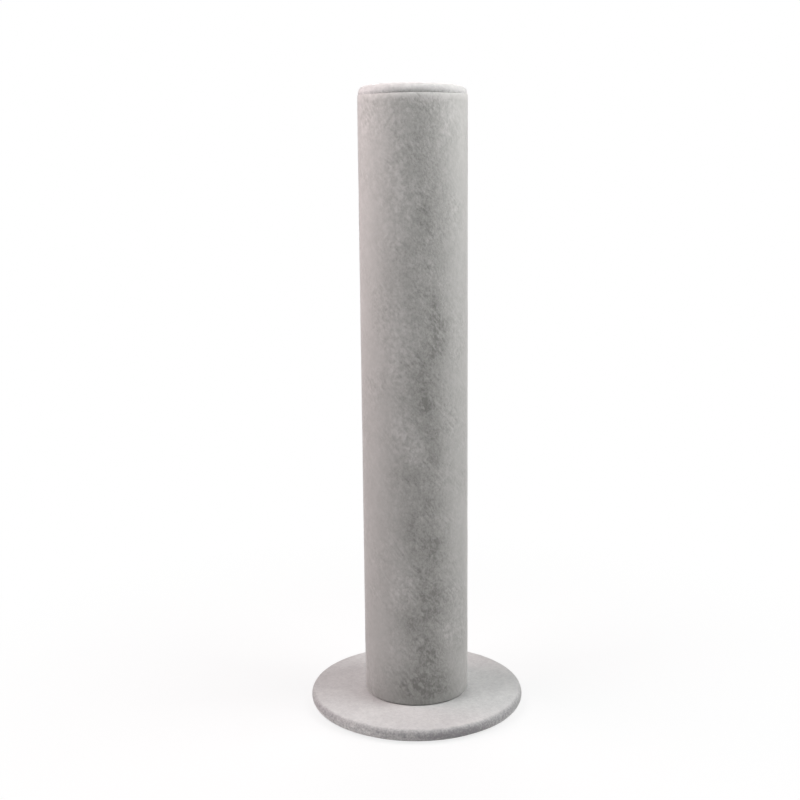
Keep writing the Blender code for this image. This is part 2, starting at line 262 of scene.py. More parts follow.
@dataclass(frozen=True)
class Velvet(Finish):
    """Short pile: grainy where light grazes it, darker where it was brushed flat or splays over an edge, and
    painted lighter or darker where light and shade are painted on it.
    """

    nap: Nap = Nap.LEVEL
    sheen: float = 1.0
    sheen_roughness: float = 0.3
    level: float = 0.58
    nib_size: float = 0.0010
    nib_contrast: float = 0.20
    tuft_size: float = 0.0020
    tuft_contrast: float = 0.11
    tuft_height: float = 0.8
    combed_contrast: float = 0.0
    comb_size: float = 0.0013
    comb_patch: float = 0.0104
    comb_stretch: float = 0.25
    comb_slant: float = math.radians(48)
    calming: float = 0.85
    clump_size: float = 0.0050
    clump_contrast: float = 0.04
    cloud_size: float = 0.022
    cloud_contrast: float = 0.03
    # How much darker brushed and splayed places are; these also set how strongly the painted light and shade
    # on rims, edges and the joint show
    brushed_and_painted_shade: float = 0.36
    brushed_speckle: float = 0.55
    splay_and_painted_shade: float = 0.35
    splay_and_painted_light_speckle: float = 0.5
    seed: float = 1.0

    def pattern(self, bench: NodeBench, place: Socket) -> Pattern:
        """Lay out nibs, tufts, clumps and clouds, and the calm and brushed places that the mesh carries,
        which include painted light and shade.
        """
        brushed, splay_and_painted_light, calm = (bench.add("ShaderNodeAttribute", attribute_name=name).outputs["Fac"]
                                for name in (BRUSHED_AND_PAINTED_LIGHT, SPLAY_AND_PAINTED_LIGHT, CALM))
        lie = bench.vector("MULTIPLY", place, self.nap.value)
        nib = bench.noise(lie, self.nib_size, 3.0, self.seed, 0.5, 0.65)
        tuft = bench.noise(lie, self.tuft_size, 2.0, self.seed + 7.0, 0.5)
        clump = bench.noise(place, self.clump_size, 2.0, self.seed + 11.0, 0.6)
        cloud = bench.noise(place, self.cloud_size, 2.0, self.seed + 13.0)
        held = bench.product(calm, bench.ramp(cloud, 0.36, 0.56, 0.45, 1.0), self.calming)
        lively = bench.math("SUBTRACT", 1.0, held)
        grain = [bench.ramp(nib, 0.28, 0.72, -self.nib_contrast, self.nib_contrast),
                 bench.ramp(tuft, 0.3, 0.7, -self.tuft_contrast, self.tuft_contrast)]
        if self.combed_contrast:
            grain.append(self.combing(bench, place, cloud))
        share = bench.total(self.level, bench.product(bench.total(*grain), lively),
                            bench.ramp(clump, 0.3, 0.7, -self.clump_contrast, self.clump_contrast),
                            bench.ramp(cloud, 0.3, 0.7, -self.cloud_contrast, self.cloud_contrast))
        # Brushed places are darker; the painted light and shade on the column's front and the base's rim
        # come in here too
        speckle = bench.ramp(tuft, 0.35, 0.65, 1 - self.brushed_speckle, 1 + self.brushed_speckle)
        share = bench.math("SUBTRACT", share, bench.product(brushed, speckle, self.brushed_and_painted_shade))
        # Splayed places are darker, and paler where negative; on the rims, the cap's edge and the joint this
        # is painted highlight and painted shade
        speckle = bench.ramp(nib, 0.62, 0.38, 1 - self.splay_and_painted_light_speckle, 1 + self.splay_and_painted_light_speckle)
        share = bench.math("SUBTRACT", share, bench.product(splay_and_painted_light, speckle, self.splay_and_painted_shade))
        return share, bench.product(bench.total(nib, bench.product(tuft, self.tuft_height)), lively)

    def combing(self, bench: NodeBench, place: Socket, cloud: Socket) -> Socket:
        """Lay out slanting hairs, in the patches where a hand combed the pile round the column.

        Args:
            bench: Where the nodes are added.
            place: The Object coordinates.
            cloud: A broad noise, which sways the slant.

        Returns:
            What the hairs add to the lighter colour's share.
        """
        x, y, z = bench.split(place)
        turn = bench.math("ARCTAN2", x, bench.product(y, -1.0))
        sway = bench.product(cloud, self.cloud_size / 2)
        aside = bench.total(bench.product(turn, bench.from_axis(x, y)), sway)
        cosine = math.cos(self.comb_slant)
        sine = math.sin(self.comb_slant)
        along = bench.math("SUBTRACT", bench.product(aside, cosine), bench.product(z, sine))
        across = bench.total(bench.product(aside, sine), bench.product(z, cosine))
        lie = bench.join(bench.product(along, self.comb_stretch), across)
        hairs = bench.noise(lie, self.comb_size, 2.0, self.seed + 17.0, 0.2)
        patch = bench.noise(place, self.comb_patch, 1.0, self.seed + 19.0)
        hairs = bench.ramp(hairs, 0.32, 0.68, -self.combed_contrast, self.combed_contrast)
        return bench.product(hairs, bench.ramp(patch, 0.42, 0.60))

    def polish(self, shader: bpy.types.Node) -> None:
        """Give the pile its sheen and take the gloss away."""
        shader.inputs["Sheen Weight"].default_value = self.sheen
        shader.inputs["Sheen Roughness"].default_value = self.sheen_roughness
        shader.inputs["Sheen Tint"].default_value = (1.0, 1.0, 0.985, 1.0)
        shader.inputs["Specular IOR Level"].default_value = 0.1


@dataclass(frozen=True)
class Felt(Finish):
    """Pressed felt with matted fibres that lie every way."""

    fibre_size: float = 0.0006

    def pattern(self, bench: NodeBench, place: Socket) -> Pattern:
        """Lay out the matted fibres and the soft clouds of their pressing."""
        fibre = bench.noise(place, self.fibre_size, 3.0, 3.0, 2.5, 0.65)
        cloud = bench.noise(place, 12 * self.fibre_size, 2.0, 5.0)
        share = bench.total(bench.ramp(fibre, 0.3, 0.7, 0.1, 0.8), bench.ramp(cloud, 0.3, 0.7, -0.1, 0.2))
        return share, fibre

    def polish(self, shader: bpy.types.Node) -> None:
        """Give the fibres a faint sheen."""
        shader.inputs["Sheen Weight"].default_value = 0.2
        shader.inputs["Specular IOR Level"].default_value = 0.15


@dataclass(frozen=True)
class Wood(Finish):
    """Turned softwood, with its rings seen from the side of the board and pores along the grain."""

    ring_size: float = 0.0035
    sway_size: float = 0.012
    pore_size: float = 0.0005

    def pattern(self, bench: NodeBench, place: Socket) -> Pattern:
        """Lay out the rings, which run along x, and the pores between them."""
        along = bench.vector("MULTIPLY", place, (0.12, 1.0, 1.0))
        sway = bench.noise(along, self.sway_size, 2.0, 11.0)
        given = {"Vector": along, "Scale": 0.1 / self.ring_size, "Distortion": bench.product(sway, 9.0)}
        rings = bench.add("ShaderNodeTexWave", given, wave_type="BANDS", bands_direction="Y").outputs["Fac"]
        pores = bench.noise(bench.vector("MULTIPLY", place, (0.08, 1.0, 1.0)), self.pore_size, 2.0, 17.0)
        share = bench.product(bench.ramp(rings, 0.0, 1.0, 0.35, 1.0), bench.ramp(pores, 0.3, 0.6, 0.7, 1.0))
        return share, pores


@dataclass(frozen=True)
class Board(Finish):
    """Pressed board: fine chips or recycled fibres in several tones."""

    chip_size: float = 0.0005

    def pattern(self, bench: NodeBench, place: Socket) -> Pattern:
        """Lay out the chips over soft stains."""
        chips = bench.noise(place, self.chip_size, 3.0, 23.0, 0.6, 0.7)
        stain = bench.noise(place, 30 * self.chip_size, 2.0, 29.0)
        return bench.total(bench.ramp(chips, 0.3, 0.7), bench.ramp(stain, 0.3, 0.7, -0.12, 0.12)), chips


@dataclass(frozen=True)
class KraftTube(Finish):
    """Spiral-wound paper, with the thin seams of its plies and long fibres."""

    ply_width: float = 0.055
    seam_share: float = 0.012
    fibre_size: float = 0.0014

    def pattern(self, bench: NodeBench, place: Socket) -> Pattern:
        """Lay out the spiral seams round z and the paper's fibres."""
        x, y, z = bench.split(place)
        turn = bench.math("DIVIDE", bench.math("ARCTAN2", y, x), FULL_TURN)
        phase = bench.math("FRACT", bench.total(bench.math("DIVIDE", z, self.ply_width), turn))
        distance = bench.math("ABSOLUTE", bench.math("SUBTRACT", phase, 0.5))
        seam = bench.ramp(distance, 0.0, self.seam_share)
        fibres = bench.noise(bench.vector("MULTIPLY", place, (1.0, 1.0, 2.2)), self.fibre_size, 4.0, 31.0,
                             roughness=0.65)
        share = bench.product(bench.ramp(fibres, 0.3, 0.7, 0.35, 1.0), bench.ramp(seam, 0.0, 1.0, 0.25, 1.0))
        return share, bench.total(bench.product(fibres, 0.3), seam)


@dataclass(frozen=True)
class Foam(Finish):
    """Open-cell foam: small round cells with paler walls."""

    cell_size: float = 0.0008

    def pattern(self, bench: NodeBench, place: Socket) -> Pattern:
        """Lay out the cells."""
        given = {"Vector": place, "Scale": 1.0 / self.cell_size}
        cells = bench.add("ShaderNodeTexVoronoi", given, feature="SMOOTH_F1").outputs["Distance"]
        wall = bench.ramp(cells, 0.1, 0.6)
        return bench.ramp(wall, 0.0, 1.0, 0.4, 1.0), wall


@dataclass(frozen=True)
class ZincSteel(Finish):
    """Zinc-plated steel with faint turning marks."""

    mark_size: float = 0.0002
    spot_size: float = 0.0012

    def pattern(self, bench: NodeBench, place: Socket) -> Pattern:
        """Lay out the turning marks and the plating's dull spots."""
        marks = bench.noise(bench.vector("MULTIPLY", place, (0.2, 0.2, 1.0)), self.mark_size, 2.0, 37.0)
        spots = bench.noise(place, self.spot_size, 2.0, 41.0)
        return bench.ramp(spots, 0.3, 0.6, 0.5, 1.0), marks

    def polish(self, shader: bpy.types.Node) -> None:
        """Make it metal."""
        shader.inputs["Metallic"].default_value = 1.0


COLUMN_VELVET = Velvet((0.556, 0.549, 0.536), (0.252, 0.254, 0.240), 0.95, 0.00024, nap=Nap.DOWN,
                       nib_contrast=0.20, tuft_contrast=0.13, combed_contrast=0.19)
BASE_VELVET = Velvet((0.714, 0.714, 0.698), (0.302, 0.298, 0.308), 0.95, 0.00013, nib_contrast=0.07,
                     tuft_contrast=0.06, brushed_speckle=0.15, seed=2.0)
CAP_VELVET = Velvet((0.700, 0.695, 0.682), (0.290, 0.286, 0.290), 0.95, 0.00015, nib_contrast=0.14,
                    tuft_contrast=0.07, seed=3.0)
GREY_FELT = Felt((0.340, 0.335, 0.330), (0.190, 0.188, 0.186), 1.0, 0.00025)
PLUG_WOOD = Wood((0.62, 0.46, 0.28), (0.40, 0.26, 0.13), 0.7, 0.00008)
MDF = Board((0.46, 0.32, 0.19), (0.30, 0.19, 0.11), 0.85, 0.00008)
GREYBOARD = Board((0.36, 0.36, 0.34), (0.21, 0.21, 0.20), 0.9, 0.00010, chip_size=0.0009)
KRAFT = KraftTube((0.47, 0.33, 0.20), (0.28, 0.18, 0.10), 0.9, 0.00012)
WHITE_FOAM = Foam((0.84, 0.83, 0.78), (0.62, 0.61, 0.56), 0.95, 0.00020)
SCREW_STEEL = ZincSteel((0.68, 0.66, 0.60), (0.46, 0.44, 0.40), 0.35, 0.00002)


class Section:
    """A closed or pole-to-pole outline that is turned about the z axis, drawn down its outer side."""

    # The share of a step by which a line may be too long before it gets one more
    SLACK = 1e-6

    def __init__(self, radius: float, height: float, pile: float = 0.0) -> None:
        """Start the outline at a point, which takes a share of the pile's relief."""
        self.points = [(radius, height, pile, 0.0)]

    def line(self, radius: float, height: float, step: float, pile: float = 0.0) -> None:
        """Draw straight on to a point.

        Args:
            radius: The end's distance from the axis.
            height: The end's height.
            step: The longest step between points.
            pile: How much of the pile's relief the new points take.
        """
        start = self.points[-1][:2]
        end = (radius, height)
        count = max(1, math.ceil(math.dist(start, end) / step - self.SLACK))
        for index in range(1, count + 1):
            place = (here + (there - here) * (index / count) for here, there in zip(start, end))
            self.points.append((*place, pile, 0.0))

    def lines(self, *ends: tuple[float, ...]) -> None:
        """Draw straight on through several points, each given as a line's values in order."""
        for end in ends:
            self.line(*end)

    def arc(self, centre: tuple[float, float], start: float, end: float, step: float, pile: float = 0.0,
            splay_and_painted_light: float = 0.0, towards: float = 0.0, flatness: float = 1.0) -> None:
        """Draw on along an arc that starts at the last point.

        Args:
            centre: The arc's centre, as distance from the axis and height.
            start: Its first angle in degrees, from the outward direction up.
            end: Its last angle.
            step: The longest step between points.
            pile: How much of the pile's relief the new points take.
            splay_and_painted_light: How far the pile opens over the edge, darker, or, where negative, closes
                up, paler; it also paints shade and highlights on edges.
            towards: The angle at which it does so most.
            flatness: The arc's height over its width, where it is an ellipse.
        """
        last_radius, last_height = self.points[-1][:2]
        width = math.hypot(last_radius - centre[0], (last_height - centre[1]) / flatness)
        count = max(2, math.ceil(width * math.radians(abs(end - start)) / step))
        for index in range(1, count + 1):
            angle = math.radians(start + (end - start) * index / count)
            place = (centre[0] + width * math.cos(angle), centre[1] + flatness * width * math.sin(angle))
            self.points.append((*place, pile, splay_and_painted_light * math.cos(angle - math.radians(towards))))


def even_turns(count: int) -> list[float]:
    """Return evenly spaced angles of a full turn."""
    return [FULL_TURN * index / count for index in range(count)]


def linked(name: str, data: bpy.types.ID) -> Piece:
    """Make an object and link it to the scene.

    Args:
        name: The object's name.
        data: Its mesh, lamp or camera.

    Returns:
        The object.
    """
    piece = bpy.data.objects.new(name, data)
    bpy.context.scene.collection.objects.link(piece)
    return piece


def turned(name: str, section: Section, turns: list[float], ring: bool = False) -> Piece:
    """Turn a section about the z axis.

    Args:
        name: The piece's name.
        section: The outline, from pole to pole or round a closed ring.
        turns: The angles at which the outline is set.
        ring: Whether its last point joins its first.

    Returns:
        A closed piece with smooth faces, which carries the section's pile, and how far its edges are splayed
        and painted lighter or darker.
    """
    inner = section.points if ring else section.points[1:-1]
    rows = len(inner)
    radius, height, *shares = (np.array(values) for values in zip(*inner))
    cosines = np.cos(turns)[:, None]
    sines = np.sin(turns)[:, None]
    level = np.broadcast_to(height, (len(turns), rows))
    place = np.stack([cosines * radius, sines * radius, level], axis=-1)
    vertices = [tuple(point) for point in place.reshape(-1, 3)]
    weights = {label: list(np.tile(share, len(turns))) for label, share in zip((PILE, SPLAY_AND_PAINTED_LIGHT), shares)}
    neighbours = [(column * rows, (column + 1) % len(turns) * rows) for column in range(len(turns))]
    faces = []
    for here, there in neighbours:
        for row in range(rows if ring else rows - 1):
            below = (row + 1) % rows
            faces.append((here + row, here + below, there + below, there + row))
    ends = () if ring else ((0, 0), (-1, rows - 1))
    for end, row in ends:
        pole = len(vertices)
        vertices.append((0.0, 0.0, section.points[end][1]))
        for values in weights.values():
            values.append(0.0)
        for pair in neighbours:
            here, there = pair if row == 0 else reversed(pair)
            faces.append((pole, here + row, there + row))
    mesh = bpy.data.meshes.new(name)
    mesh.from_pydata(vertices, [], faces)
    for label, values in weights.items():
        carry(mesh, label, values)
    mesh.shade_smooth()
    return linked(name, mesh)


def carry(mesh: Mesh, label: str, values: object) -> None:
    """Let a mesh carry a number for each point."""
    mesh.attributes.new(label, "FLOAT", "POINT").data.foreach_set("value", values)


def made(name: str, shape: bmesh.types.BMesh, height: float) -> Piece:
    """Turn a shape into a piece.

    Args:
        name: The piece's name.
        shape: The shape, which is used up.
        height: How far it is raised first.

    Returns:
        The piece.
    """
    bmesh.ops.translate(shape, vec=(0, 0, height), verts=shape.verts)
    mesh = bpy.data.meshes.new(name)
    shape.to_mesh(mesh)
    shape.free()
    return linked(name, mesh)


def bake(piece: Piece) -> None:
    """Turn a piece's modifiers into plain mesh.

    Args:
        piece: The piece, with its modifiers.
    """
    graph = bpy.context.evaluated_depsgraph_get()
    mesh = bpy.data.meshes.new_from_object(piece.evaluated_get(graph), depsgraph=graph)
    piece.modifiers.clear()
    piece.data = mesh
    mesh.name = piece.name
    mesh.shade_smooth()


def cut_out(piece: Piece, *cutters: Piece) -> None:
    """Cut pieces out of another one.

    Args:
        piece: The piece that is cut.
        *cutters: The pieces that cut it, which are removed.
    """
    for cutter in cutters:
        piece.modifiers.new("cut", "BOOLEAN").object = cutter
    bpy.context.view_layer.update()
    bake(piece)
    for cutter in cutters:
        bpy.data.objects.remove(cutter)


class GeometryTree(NodeBench):
    """A Geometry Nodes tree with named inputs, which ends in Realize Instances and Set Material."""

    def __init__(self, name: str, inputs: dict[str, object]) -> None:
        """Make the tree and its interface.

        Args:
            name: The tree's name.
            inputs: Each input's name and first value, a number or a vector.
        """
        super().__init__(bpy.data.node_groups.new(name, "GeometryNodeTree"))
        socket = self.tree.interface.new_socket
        socket("Geometry", in_out="INPUT", socket_type="NodeSocketGeometry")
        for label, value in inputs.items():
            kind = "NodeSocketVector" if isinstance(value, tuple) else "NodeSocketFloat"
            socket(label, in_out="INPUT", socket_type=kind).default_value = value
        socket("Material", in_out="INPUT", socket_type="NodeSocketMaterial")
        socket("Geometry", in_out="OUTPUT", socket_type="NodeSocketGeometry")
        self.given = self.add("NodeGroupInput").outputs

    def place(self) -> Socket:
        """Return the points' places."""
        return self.add("GeometryNodeInputPosition").outputs[0]

    def carried(self, label: str) -> Socket:
        """Return the number that the mesh carries for each point."""
        node = self.add("GeometryNodeInputNamedAttribute", {"Name": label}, data_type="FLOAT")
        return node.outputs["Attribute"]

    def lift(self, geometry: Socket, rise: Socket) -> None:
        """End the tree with the points moved along their normals.

        Args:
            geometry: The geometry whose points move.
            rise: How far each one moves.
        """
        normal = self.add("GeometryNodeInputNormal").outputs[0]
        given = {"Geometry": geometry, "Offset": self.vector("SCALE", normal, rise)}
        self.end(self.add("GeometryNodeSetPosition", given).outputs[0])

    def end(self, geometry: Socket) -> None:
        """End the tree.

        Args:
            geometry: The finished geometry.
        """
        realized = self.add("GeometryNodeRealizeInstances", {"Geometry": geometry}).outputs[0]
        given = {"Geometry": realized, "Material": self.given["Material"]}
        dressed = self.add("GeometryNodeSetMaterial", given).outputs[0]
        self.add("NodeGroupOutput", {"Geometry": dressed})

    def apply(self, piece: Piece, material: bpy.types.Material, values: dict[str, object]) -> None:
        """Run the tree on a piece and keep the result as its mesh.

        Args:
            piece: The piece to change.
            material: What its faces wear.
            values: The inputs that differ from their first value.
        """
        modifier = piece.modifiers.new(self.tree.name, "NODES")
        modifier.node_group = self.tree
        sockets = [item for item in self.tree.interface.items_tree if item.in_out == "INPUT"]
        identifiers = {item.name: item.identifier for item in sockets}
        for label, value in {**values, "Material": material}.items():
            modifier[identifiers[label]] = value
        bake(piece)


def pile_tree() -> GeometryTree:
    """Make the tree that raises a pile's tufts and brushes streaks into it.

    Returns:
        A tree that moves the points along their normals and stores how brushed each one is.
    """
    tree = GeometryTree("velvet_pile", {
        "Stretch": (1.0, 1.0, 1.0),
        "Tuft Size": 3.0 * MM,
        "Tuft Depth": 0.06 * MM,
        "Splay Depth": 0.10 * MM,
        "Wave Size": 26.0 * MM,
        "Wave Depth": 0.10 * MM,
        "Patch Size": 11.0 * MM,
        "Patch Strength": 0.14,
        "Ragged Size": 2.6 * MM,
        "Seed": 1.0,
    })
    given = tree.given
    seed = given["Seed"]
    place = tree.place()
    lie = tree.vector("MULTIPLY", place, given["Stretch"])
    tuft = tree.noise(lie, given["Tuft Size"], 2.0, seed, 0.8)
    wave = tree.noise(place, given["Wave Size"], 1.0, seed)
    patch = tree.noise(lie, given["Patch Size"], 3.0, seed, 0.5, 0.6)
    torn = tree.noise(lie, given["Ragged Size"], 3.0, seed, 0.8, 0.6)
    strokes = tree.product(tree.carried(STROKES), tree.ramp(torn, 0.32, 0.62, 0.35, 1.45))
    brushed = tree.total(strokes, tree.swing(patch, given["Patch Strength"]))
    marks = {"Geometry": given["Geometry"], "Name": BRUSHED_AND_PAINTED_LIGHT, "Value": brushed}
    marked = tree.add("GeometryNodeStoreNamedAttribute", marks, data_type="FLOAT", domain="POINT")
    depth = tree.total(given["Tuft Depth"], tree.product(tree.carried(SPLAY_AND_PAINTED_LIGHT), given["Splay Depth"]))
    rise = tree.total(tree.swing(tuft, depth), tree.swing(wave, given["Wave Depth"]))
    rise = tree.math("SUBTRACT", rise, tree.product(brushed, given["Tuft Depth"]))
    tree.lift(marked.outputs["Geometry"], tree.product(rise, tree.carried(PILE)))
    return tree


def seam_tree() -> GeometryTree:
    """Make the tree that presses the butt seam into the back of the sleeve.

    Returns:
        A tree that sinks the points near x = 0 on the back, along a line that wanders a little.
    """
    tree = GeometryTree("butt_seam", {"Seam Width": 0.35 * MM, "Seam Depth": 0.40 * MM, "Wander": 0.25 * MM})
    given = tree.given
    place = tree.place()
    x, y, _ = tree.split(place)
    level = tree.vector("MULTIPLY", place, (0.0, 0.0, 1.0))
    sway = tree.swing(tree.noise(level, 14 * MM, 3.0, 5.0), given["Wander"])
    away = tree.math("DIVIDE", tree.math("SUBTRACT", x, sway), given["Seam Width"])
    share = tree.math("EXPONENT", tree.product(away, away, -1.0))
    share = tree.product(share, tree.math("GREATER_THAN", y, 0.0), tree.carried(PILE))
    tree.lift(given["Geometry"], tree.product(share, tree.product(given["Seam Depth"], -1.0)))
    return tree


def gather_tree() -> GeometryTree:
    """Make the tree that gathers a cover's turned-under margin.

    Returns:
        A tree that folds the underside into irregular pleats, which fade out at the widest edge.
    """
    tree = GeometryTree("gathered_margin", {
        "Pleats": 64.0,
        "Pleat Depth": 0.16 * MM,
        "Top": 4.0 * MM,
        "Inner Radius": 49.5 * MM,
        "Outer Radius": 51.5 * MM,
        "Seed": 1.0,
    })
    given = tree.given
    place = tree.place()
    x, y, z = tree.split(place)
    round_it = tree.vector("NORMALIZE", tree.vector("MULTIPLY", place, (1.0, 1.0, 0.0)))
    sway = tree.product(tree.noise(round_it, 0.3, 2.0, given["Seed"]), 9.0)
    turn = tree.math("ARCTAN2", y, x)
    wave = tree.math("SINE", tree.total(tree.product(turn, given["Pleats"]), sway))
    depth = tree.ramp(tree.noise(round_it, 0.12, 1.0, given["Seed"]), 0.3, 0.7, 0.35, 1.0)
    fade = tree.ramp(tree.from_axis(x, y), given["Inner Radius"], given["Outer Radius"], 1.0, 0.0)
    fade = tree.product(fade, tree.math("LESS_THAN", z, given["Top"]))
    rise = tree.product(wave, depth, given["Pleat Depth"])
    tree.lift(given["Geometry"], tree.product(rise, tree.product(fade, tree.carried(PILE))))
    return tree


def ring_tree() -> GeometryTree:
    """Make the tree that sets copies of a piece on a circle, each turned the same way outwards.

    Returns:
        A tree that repeats the geometry it is given.
    """
    tree = GeometryTree("set_on_circle", {"Count": 3.0, "Radius": 11.0 * MM, "First Turn": math.pi / 2})
    given = tree.given
    step = tree.math("DIVIDE", FULL_TURN, given["Count"])
    index = tree.add("GeometryNodeInputIndex").outputs[0]
    turn = tree.total(tree.product(index, step), given["First Turn"])
    x, y = (tree.product(tree.math(function, turn), given["Radius"]) for function in ("COSINE", "SINE"))
    points = tree.add("GeometryNodePoints", {"Count": given["Count"], "Position": tree.join(x, y)})
    facing = tree.join(0.0, 0.0, turn)
    copies = {"Points": points.outputs[0], "Instance": given["Geometry"], "Rotation": facing}
    tree.end(tree.add("GeometryNodeInstanceOnPoints", copies).outputs[0])
    return tree


@dataclass
class Workshop:
    """The Geometry Nodes trees that the sub-assemblies share."""

    pile: GeometryTree = field(default_factory=pile_tree)
    seam: GeometryTree = field(default_factory=seam_tree)
    gathers: GeometryTree = field(default_factory=gather_tree)
    ring: GeometryTree = field(default_factory=ring_tree)


def settle(piece: Piece, slot: str, *nodes: str) -> None:
    """Let a finished piece stand for its nodes.

    Args:
        piece: The piece, which rides on the object's one body.
        slot: The record's material slot, which is not used.
        *nodes: The nodes that it replaces.
    """
    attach(piece, BODY)
    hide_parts(*nodes)
    LOG.info("%s: %d faces, for %s", piece.name, len(piece.data.polygons), ", ".join(nodes))


def dress_node(node: str, finish: Finish) -> None:
    """Give a node that stays its own finish.

    Args:
        node: The node's name.
        finish: What it wears.
    """
    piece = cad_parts[node]
    piece.data.materials.clear()
    piece.data.materials.append(finish.material(f"{node}_finish"))
    LOG.info("%s: kept, and dressed", node)


def places(mesh: Mesh) -> np.ndarray:
    """Read a mesh's points.

    Args:
        mesh: The mesh.

    Returns:
        The points, one row each.
    """
    flat = np.empty(3 * len(mesh.vertices))
    mesh.vertices.foreach_get("co", flat)
    return flat.reshape(-1, 3)


def turns_from(place: np.ndarray, at: float) -> np.ndarray:
    """Return each point's turn from an angle that is counted from the front, in degrees from -180 to 180."""
    return (np.degrees(np.arctan2(place[:, 0], -place[:, 1])) - at + 180) % 360 - 180


@dataclass(frozen=True)
class Stroke:
    """A place where a hand brushed the pile down, which looks darker, or up, which looks paler; some strokes
    are painted light and shade instead.

    The turn is counted from the front in degrees, and the lengths are in millimetres.
    """

    height: float
    turn: float
    half_width: float
    half_height: float
    strength: float

    def share(self, place: np.ndarray) -> np.ndarray:
        """Work out how strongly each point is brushed.

        Args:
            place: The points, one row each.

        Returns:
            The strength at each point, strongest in the stroke's middle.
        """
        radius = np.hypot(place[:, 0], place[:, 1])
        across = np.radians(turns_from(place, self.turn)) * radius / (self.half_width * MM)
        along = (place[:, 2] - self.height * MM) / (self.half_height * MM)
        return self.strength * np.exp(-((across**2 + along**2) ** STROKE_HARDNESS))

    def elsewhere(self, turn: float, rise: float) -> "Stroke":
        """Return a weaker copy that is turned round the column, upside down and raised."""
        height = (rise - self.height) % COPY_HEIGHT
        return replace(self, turn=self.turn + turn, height=height, strength=COPY_STRENGTH * self.strength)


STROKES_DOWN = (
    Stroke(282, 12, 8, 9, 0.35), Stroke(268, 2, 4.5, 11, 0.50), Stroke(250, 19, 8, 17, 0.35),
    Stroke(238, 8, 4, 7, 0.50), Stroke(227, -3, 3.5, 6, 0.35), Stroke(222, 25, 6, 10, 0.35),
    Stroke(201, 20, 4, 6, 0.75), Stroke(192, 26, 5, 5, 0.85), Stroke(183, 25, 5, 7, 0.80),
    Stroke(169, 15, 6.5, 14, 0.60), Stroke(153, 12, 5, 8, 0.75), Stroke(142, 20, 4.5, 6, 0.50),
    Stroke(131, 21, 4, 7, 0.75), Stroke(120, -6, 6, 6, 0.40), Stroke(105, 20, 6.5, 6, 0.45),
    Stroke(93, -6, 5, 6, 0.35), Stroke(85, 21, 7, 8, 0.70), Stroke(61, 20, 8, 11, 0.50),
    Stroke(48, -3, 6, 4, 0.45), Stroke(34, 14, 6, 8, 0.55), Stroke(18, 8, 14, 8, 0.60),
    Stroke(48, 7, 12, 44, 0.50), Stroke(98, 4, 8, 30, 0.30), Stroke(165, 1, 6, 34, 0.30),
)
STROKES_UP = (
    Stroke(285, 36, 7, 8, -0.25), Stroke(245, -14, 8, 26, -0.25), Stroke(180, -14, 8, 20, -0.45),
    Stroke(142, -14, 7.5, 8, -0.45), Stroke(131, -1, 5.5, 7, -0.60), Stroke(67, -14, 8, 14, -0.65),
    Stroke(42, 34, 5, 6, -0.50), Stroke(34, -18, 8, 12, -0.24),
)
# Marks on the front only, most of them painted light and shade: a painted highlight on the rim under the
# cap, a paler upper front, a darker front near the foot, and paler flanks at the foot for light bounced off
# the base
STROKES_AND_PAINTED_LIGHT_IN_FRONT = (
    Stroke(293.2, 2, 15, 3, -0.60), Stroke(281, -6, 34, 13, -0.17), Stroke(256, 0, 16, 14, -0.12),
    Stroke(74, -3, 6, 5, 0.25), Stroke(13, 31, 6, 7, 0.20), Stroke(12, 5, 22, 9, 0.28),
    Stroke(9, -66, 11, 20, -0.35), Stroke(9, 68, 11, 20, -0.40),
)
# Marks on the base's rim, mostly painted light and shade: paler at the left front and darker at the right
# front, as the lamps fall
STROKES_AND_PAINTED_LIGHT_ON_RIM = (
    Stroke(2.6, 22, 16, 2.7, 0.85), Stroke(2.6, -36, 20, 2.7, -0.95), Stroke(2.6, 118, 26, 2.7, 0.40),
    Stroke(2.6, -150, 22, 2.7, 0.35),
)


def brush(mesh: Mesh, strokes: tuple[Stroke, ...]) -> None:
    """Brush strokes, which add up where they meet, into a mesh's pile; some of them are painted light and
    shade.
    """
    place = places(mesh)
    carry(mesh, STROKES, np.clip(sum(stroke.share(place) for stroke in strokes), *STROKE_LIMITS))


@dataclass(frozen=True)
class Joint:
    """The hand-glued joint under the cap, which gapes at some turns and is shut at others."""

    gapes: tuple[tuple[float, float], ...] = ((1, 60), (140, 30), (-128, 26))
    shut: float = 0.85
    sharpness: int = 6
    slack: float = 0.01 * MM

    def close(self, mesh: Mesh, radius: float, reach: float, low: float, high: float) -> None:
        """Draw a rounded edge out towards the joint where that is shut.

        Args:
            mesh: The mesh whose edge is drawn out.
            radius: The edge's widest distance from the axis.
            reach: How far in from there the edge begins.
            low: The edge's lowest height.
            high: The edge's highest height.
        """
        place = places(mesh)
        gapes = [np.exp(-(turns_from(place, at) / half) ** self.sharpness) for at, half in self.gapes]
        gape = np.max(gapes, axis=0)
        away = np.hypot(place[:, 0], place[:, 1])
        edge = (away > radius - reach - self.slack) & (place[:, 2] > low - self.slack)
        edge &= place[:, 2] < high + self.slack
        wider = radius - (radius - away) * (1 - self.shut * (1 - gape))
        place[edge, :2] *= (wider / np.maximum(away, self.slack))[edge, None]
        mesh.vertices.foreach_set("co", place.ravel())
        mesh.update()


@dataclass
class Covered:
    """What the covered sub-assemblies share: the trees and the velvet's thickness."""

    workshop: Workshop
    velvet: float = 0.9 * MM


